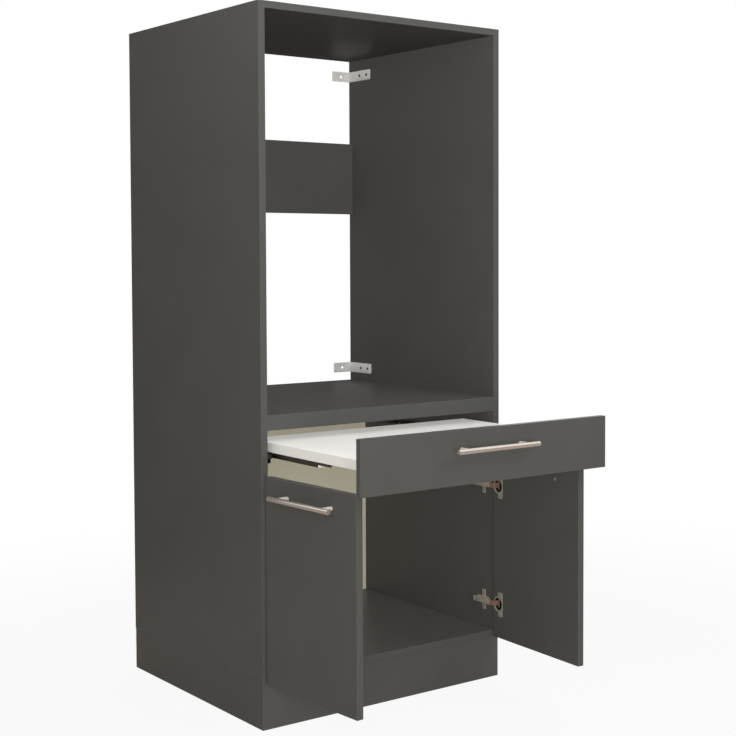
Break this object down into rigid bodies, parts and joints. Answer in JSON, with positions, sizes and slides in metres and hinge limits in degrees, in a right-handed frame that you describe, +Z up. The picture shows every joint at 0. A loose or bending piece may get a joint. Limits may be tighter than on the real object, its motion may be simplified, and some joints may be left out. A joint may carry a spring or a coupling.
{
  "type": "washing machine cabinet",
  "caption": "Tall laundry housing with an open niche for a washing machine, a pull-out shelf below it and a cupboard with hinged doors on a plinth.",
  "frame": {"origin": "on the floor, at mid-width under the middle of the plinth's front board", "axes": "+X to the viewer's right when facing the doors, the front faces -Y, +Z up"},
  "size_m": [0.7218, 1.06, 1.6],
  "materials": {
    "anthracite_board": "smooth satin coated board",
    "white_board": "white coated board",
    "pale_board": "thin pale coated fibreboard",
    "brushed_handle": "brushed",
    "nickel_plate": "nickel plated",
    "galvanised_steel": "galvanised",
    "runner_steel": "dark grey coating",
    "white_nylon": "smooth nylon",
    "black_plastic": "moulded",
    "zinc_screws": "zinc plated",
    "beech": "raw"
  },
  "bodies": {
    "carcass": {"back_rail": "anthracite_board", "bottom_panel": "anthracite_board", "cabinet_rail_screws": "zinc_screws", "carcass_dowels": "beech", "hinge_plate_screws": "zinc_screws", "left_cabinet_rail": "runner_steel", "left_hinge_arms": "nickel_plate", "left_hinge_plates": "nickel_plate", "left_lower_wall_bracket": "galvanised_steel", "left_plinth_board": "anthracite_board", "left_rail_end_block": "black_plastic", "left_side_panel": "anthracite_board", "left_upper_wall_bracket": "galvanised_steel", "lower_back_panel": "pale_board", "niche_floor": "anthracite_board", "plinth_back": "anthracite_board", "plinth_front": "anthracite_board", "right_cabinet_rail": "runner_steel", "right_hinge_arms": "nickel_plate", "right_hinge_plates": "nickel_plate", "right_lower_wall_bracket": "galvanised_steel", "right_plinth_board": "anthracite_board", "right_rail_end_block": "black_plastic", "right_side_panel": "anthracite_board", "right_upper_wall_bracket": "galvanised_steel", "top_panel": "anthracite_board", "wall_bracket_screws": "zinc_screws"},
    "pull_out": {"front_angle_brackets": "galvanised_steel", "left_shelf_rail": "runner_steel", "pull_out_front": "anthracite_board", "pull_out_handle_bar": "brushed_handle", "pull_out_handle_posts": "brushed_handle", "pull_out_handle_screws": "zinc_screws", "pull_out_screws": "zinc_screws", "pull_out_shelf": "white_board", "right_shelf_rail": "runner_steel", "shelf_rail_glides": "white_nylon"},
    "cabinet_rollers": {"left_cabinet_roller": "white_nylon", "right_cabinet_roller": "white_nylon"},
    "left_door": {"left_door": "anthracite_board", "left_door_handle_bar": "brushed_handle", "left_door_handle_posts": "brushed_handle", "left_door_handle_screws": "zinc_screws", "left_hinge_cup_screws": "zinc_screws", "left_hinge_cups": "nickel_plate", "left_hinge_pins": "nickel_plate"},
    "middle_rails": {"left_middle_rail": "runner_steel", "middle_rail_glides": "white_nylon", "right_middle_rail": "runner_steel"},
    "middle_rollers": {"left_middle_roller": "white_nylon", "right_middle_roller": "white_nylon"},
    "right_door": {"right_door": "anthracite_board", "right_door_handle_bar": "brushed_handle", "right_door_handle_posts": "brushed_handle", "right_door_handle_screws": "zinc_screws", "right_hinge_cup_screws": "zinc_screws", "right_hinge_cups": "nickel_plate", "right_hinge_pins": "nickel_plate"}
  },
  "joints": [
    {"name": "pull_out_slide", "type": "slide", "parent": "carcass", "child": "pull_out", "axis": [0, -1, 0], "range_m": [-0.365, 0]},
    {"name": "middle_rail_slide", "type": "slide", "parent": "carcass", "child": "middle_rails", "axis": [0, -1, 0], "range_m": [-0.2263, 0]},
    {"name": "cabinet_roller_spin", "type": "hinge", "parent": "carcass", "child": "cabinet_rollers", "pos_m": [0, 0.053, 0.5962], "axis": [1, 0, 0], "range_deg": [-2162, 0]},
    {"name": "middle_roller_spin", "type": "hinge", "parent": "middle_rails", "child": "middle_rollers", "pos_m": [0, -0.1983, 0.608], "axis": [1, 0, 0], "range_deg": [-1590.4, 0]},
    {"name": "left_door_hinge", "type": "hinge", "parent": "carcass", "child": "left_door", "pos_m": [-0.3234, -0.026, 0.3345], "axis": [0, 0, -1], "range_deg": [-87, 8]},
    {"name": "right_door_hinge", "type": "hinge", "parent": "carcass", "child": "right_door", "pos_m": [0.3234, -0.026, 0.3345], "axis": [0, 0, 1], "range_deg": [-87, 8]}
  ],
  "couplings": [
    {"joint": "middle_rail_slide", "follows": "pull_out_slide", "ratio": 0.62},
    {"joint": "cabinet_roller_spin", "follows": "pull_out_slide", "rad_per_m": 103.33},
    {"joint": "middle_roller_spin", "follows": "pull_out_slide", "rad_per_m": 76}
  ]
}
